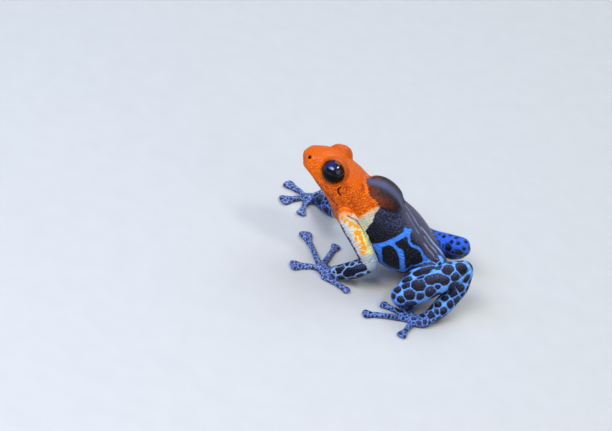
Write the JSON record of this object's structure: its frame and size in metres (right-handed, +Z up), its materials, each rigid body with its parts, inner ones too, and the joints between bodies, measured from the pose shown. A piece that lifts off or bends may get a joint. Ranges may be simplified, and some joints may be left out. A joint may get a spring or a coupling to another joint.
{
  "type": "red-headed poison frog",
  "caption": "Life-size still model of a small poison frog sitting upright on its hands and feet, with a raised head, domed eyes and round discs on fingers and toes.",
  "frame": {"origin": "on the floor, under the middle of the frog's bounding box", "axes": "-X the way the frog looks, -Y its left side, +Z up"},
  "size_m": [0.0238, 0.0234, 0.014],
  "materials": {
    "head_skin": "moist skin, orange, fine grain, soft sheen",
    "trunk_skin": "moist skin, black to slate, fine grain, soft sheen",
    "arm_skin": "moist skin, cream with orange blotches",
    "limb_skin": "moist skin, blue network over near-black cells",
    "eyes": "wet gloss, black"
  },
  "bodies": {
    "root": {"head": "head_skin", "torso": "trunk_skin", "eye_left": "eyes", "eye_right": "eyes", "upper_arm_left": "arm_skin", "upper_arm_right": "arm_skin", "forearm_left": "limb_skin", "forearm_right": "limb_skin", "hand_left": "limb_skin", "hand_right": "limb_skin", "thigh_left": "limb_skin", "thigh_right": "limb_skin", "shank_left": "limb_skin", "shank_right": "limb_skin", "tarsus_left": "limb_skin", "tarsus_right": "limb_skin", "foot_left": "limb_skin", "foot_right": "limb_skin"}
  },
  "joints": []
}
